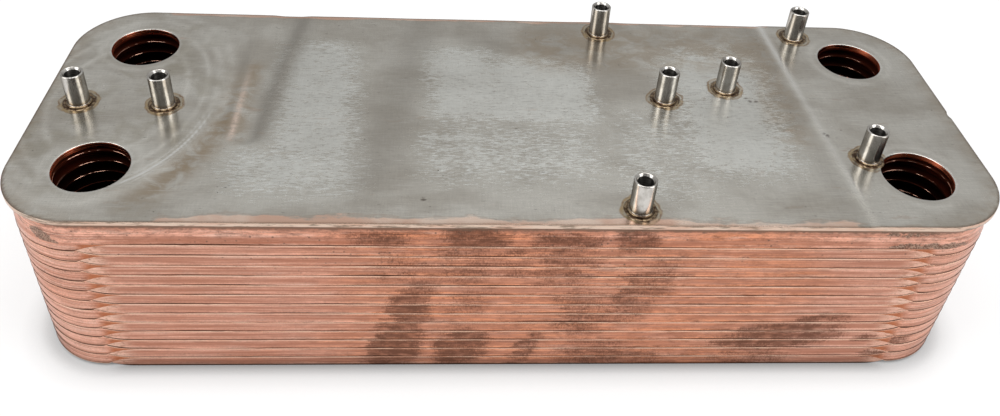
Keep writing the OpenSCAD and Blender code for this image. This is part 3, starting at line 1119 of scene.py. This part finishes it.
def build_port_rings(material):
    """Rounded braze nose on each pair of port collars that meet inside a port."""
    nose = [(0.05, 0.15), (-0.04, 0.13), (-0.08, 0.08), (-0.08, 0.02), (-0.04, -0.03), (0.05, -0.05)]
    vertices, faces = [], []
    for x, y in PORT_XY:
        first = 0 if y < 0 else 1
        for plate in range(first, CHANNEL_PLATES - 1, 2):
            seam = COVER_BOTTOM - plate * PITCH - SHEET_T - COLLAR_H - BRAZE_FILM / 2
            profile = [(PORT_R + out * MM, seam + up * MM) for out, up in nose]
            add_lathe(vertices, faces, profile, (x, y), 72)
    rings = new_object("port_rings", vertices, faces, [material])
    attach(rings, "root")


# ------------ stand-offs


def rounded(profile, radius, steps=3):
    """A polyline with each of its inner corners cut to an arc-like curve."""
    points = [profile[0]]
    for before, corner, after in zip(profile, profile[1:], profile[2:]):
        corner = Vector(corner)
        start = corner + (Vector(before) - corner).normalized() * radius
        end = corner + (Vector(after) - corner).normalized() * radius
        for i in range(steps + 1):
            u = i / steps
            points.append(tuple((1 - u) ** 2 * start + 2 * u * (1 - u) * corner + u ** 2 * end))
    return points + [profile[-1]]


def build_standoffs(outer_material, bore_material, foot_material):
    """Each stand-off as a finely turned body in place of the CAD one."""
    turns = 96
    for number, centre in enumerate(STANDOFF_XY, 1):
        node = f"standoff_{number}"
        low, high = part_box(node)
        base_r = (high.x - low.x) / 2
        outer = base_r - FOOT_W
        profile = [
            (CORE_R, low.z),
            (CORE_R, high.z - MOUTH_CHAMFER),
            (CORE_R + MOUTH_CHAMFER, high.z),
            (outer - TOP_CHAMFER, high.z),
            (outer, high.z - TOP_CHAMFER),
            (outer, low.z + FOOT_H),
            (base_r, low.z + FOOT_EDGE_H),
            (base_r, low.z),
        ]
        profile = rounded(profile, 0.1 * MM)
        radii = np.array([r for r, _ in profile[1:]])
        part = np.where(radii > outer + 0.8 * FOOT_W, 2, 0)
        part[radii < CORE_R + 0.85 * MOUTH_CHAMFER] = 1
        vertices, faces = [], []
        add_lathe(vertices, faces, profile, centre, turns)
        materials = [outer_material, bore_material, foot_material]
        ids = part.tolist() * turns
        body = new_object(f"standoff_body_{number}", vertices, faces, materials, material_ids=ids)
        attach(body, "root")
        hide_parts(node)


def build_threads(material):
    """M6 thread: a 60 degree ridge wound in the lower part of each stand-off."""
    steps = 28
    base_r = CORE_R + 0.02 * MM
    crest_r = CORE_R - THREAD_H
    ridge = [(base_r, 0.3), (crest_r, 0.06), (crest_r, -0.06), (base_r, -0.3)]
    vertices, faces = [], []
    for mount in THREADS:
        x, y, z = mount["pos_m"]
        length = mount["dims"]["length_mm"] * MM
        turns = int((length - THREAD_DEPTH) / THREAD_PITCH) - 1
        base = len(vertices)
        for i in range(turns * steps + 1):
            a = 2 * math.pi * i / steps
            h = z + length / 2 - THREAD_DEPTH - THREAD_PITCH * i / steps
            for r, up in ridge:
                vertices.append((x + r * math.cos(a), y + r * math.sin(a), h + up * THREAD_PITCH))
        add_strip(faces, base, turns * steps + 1, len(ridge), closed=False)
    threads = new_object("standoff_threads", vertices, faces, [material])
    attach(threads, "root")


def build_welds(material):
    """A low uneven ring of weld round the foot of each stand-off."""
    # Distance out from the foot in mm, and height as a share of the weld's
    section = [(-0.15, -1), (0.12, -0.2), (0.30, 0.7), (0.55, 1), (0.85, 0.75), (1.15, 0.1), (1.35, -1.6)]
    vertices, faces = [], []
    for number, centre in enumerate(STANDOFF_XY):
        low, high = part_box(f"standoff_{number + 1}")
        foot = (high.x - low.x) / 2
        profile = [(foot + out * MM, COVER_TOP + up * WELD_H) for out, up in section]

        def wobble(a, k, number=number):
            place = Vector((3.2 * math.cos(a), 3.2 * math.sin(a), number * 5 + k * 0.2))
            return WELD_WOBBLE * noise.noise(place)

        add_lathe(vertices, faces, profile, centre, 56, wobble, outward=True)
    welds = new_object("standoff_welds", vertices, faces, [material])
    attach(welds, "root")


# ------------ light and camera


def seen_directly(s):
    """1 for camera, mirror and glass rays."""
    kinds = ("Is Camera Ray", "Is Glossy Ray", "Is Transmission Ray")
    camera, glossy, transmission = (s.add("ShaderNodeLightPath", output=kind) for kind in kinds)
    return s.math("MAXIMUM", s.math("MAXIMUM", camera, glossy), transmission)


def build_floor():
    """White floor, greyer for the light it bounces. Ambient occlusion paints a contact shadow into its
    colour and into its lift to white, which stops short of the object's shadow.
    """
    size = 6.0
    corners = [(-size, -size, 0), (size, -size, 0), (size, size, 0), (-size, size, 0)]
    s = Shader("floor_white")
    direct = seen_directly(s)
    contact_shadow = s.add("ShaderNodeAmbientOcclusion", {"Distance": 6 * MM}, "AO", samples=12)
    near_shadow = s.add("ShaderNodeAmbientOcclusion", {"Distance": 13 * MM}, "AO", samples=12)
    s.color = s.mix(direct, (0.70, 0.70, 0.70), contact_shadow)
    s.plug(s.bsdf.inputs["Specular IOR Level"], 0)
    lift = s.add("ShaderNodeEmission", {"Strength": s.times(near_shadow, contact_shadow)})
    both = {0: s.times(direct, 0.65), 1: s.bsdf.outputs[0], 2: lift}
    s.plug(s.output.inputs[0], s.add("ShaderNodeMixShader", both))
    floor = new_object("floor", corners, [(0, 1, 2, 3)], [s.finish(0.9, 0)], smooth=False)


def build_world():
    """Soft studio surround: brighter overhead, darker in front."""
    world = bpy.data.worlds.new("studio")
    bpy.context.scene.world = world
    world.use_nodes = True
    w = Nodes(world.node_tree)
    _, y, z = w.split(w.add("ShaderNodeTexCoord", output="Generated"))
    background = w.tree.nodes["Background"].inputs
    w.plug(background["Strength"], w.times(w.ramp(z, 0, 1, 0.38, 0.66), w.ramp(y, -0.85, -0.2, 0.3, 1)))
    w.plug(background["Color"], (1, 1, 1))


def build_lamp(name, place, target, size, power):
    lamp = bpy.data.lights.new(name, "AREA")
    lamp.shape = "RECTANGLE"
    lamp.size, lamp.size_y = size
    lamp.energy = power
    obj = link_object(name, lamp)
    obj.location = place
    obj.rotation_mode = "QUATERNION"
    obj.rotation_quaternion = (Vector(target) - Vector(place)).to_track_quat("-Z", "Y")


def build_camera():
    """Camera above and in front of the long side, turned a little clockwise."""
    right = Vector((0.99727, -0.04738, 0.05667))
    up = Vector((-0.01576, 0.61309, 0.78986))
    back = right.cross(up).normalized()
    right = up.cross(back).normalized()
    data = bpy.data.cameras.new("camera")
    data.sensor_width = 36
    data.lens = 33.51
    data.shift_x = -0.0023
    data.shift_y = -0.0899
    data.clip_start = 0.01
    camera = link_object("camera", data)
    place = Vector((-0.02765, -0.26761, COVER_TOP + 0.20249))
    camera.matrix_world = Matrix.Translation(place) @ Matrix((right, up, back)).transposed().to_4x4()
    bpy.context.scene.camera = camera


# ------------ assembly


def dress_nodes(steel):
    """Gives the nodes from the CAD their materials."""
    copper_even = copper_sheet("copper_sheet_even", True)
    copper_odd = copper_sheet("copper_sheet_odd", False)
    back = back_steel()
    for name, node in frame["nodes"].items():
        if name == "back_plate":
            material = back
        elif name.startswith("standoff_"):
            material = steel
        elif name.startswith("channel_plate_") and int(name.rsplit("_", 1)[1]) % 2 == 1:
            material = copper_odd
        else:
            material = copper_even
        node.data.materials.clear()
        node.data.materials.append(material)


bpy.context.scene.view_settings.view_transform = "Standard"
build_camera()
build_world()
build_floor()
build_lamp("overhead", (0.04, -0.1, 1.4), (0, 0, 0.05), (1.3, 0.7), 9)
build_lamp("left_strip", (-1.0, -0.35, 0.75), (0, 0, 0.07), (0.6, 1.2), 5.4)
build_lamp("right_strip", (0.95, -0.55, 0.75), (0, 0, 0.07), (0.6, 1.2), 5.4)

steel = standoff_steel()
bore = bore_steel_painted_shade()
weld = weld_steel()
dress_nodes(steel)
build_cover(cover_steel(), cover_rim(), port_copper())
build_braze(braze_copper(), oxide_and_shadow_line())
build_port_rings(ring_copper())
build_standoffs(steel, bore, weld)
build_threads(bore)
build_welds(weld)
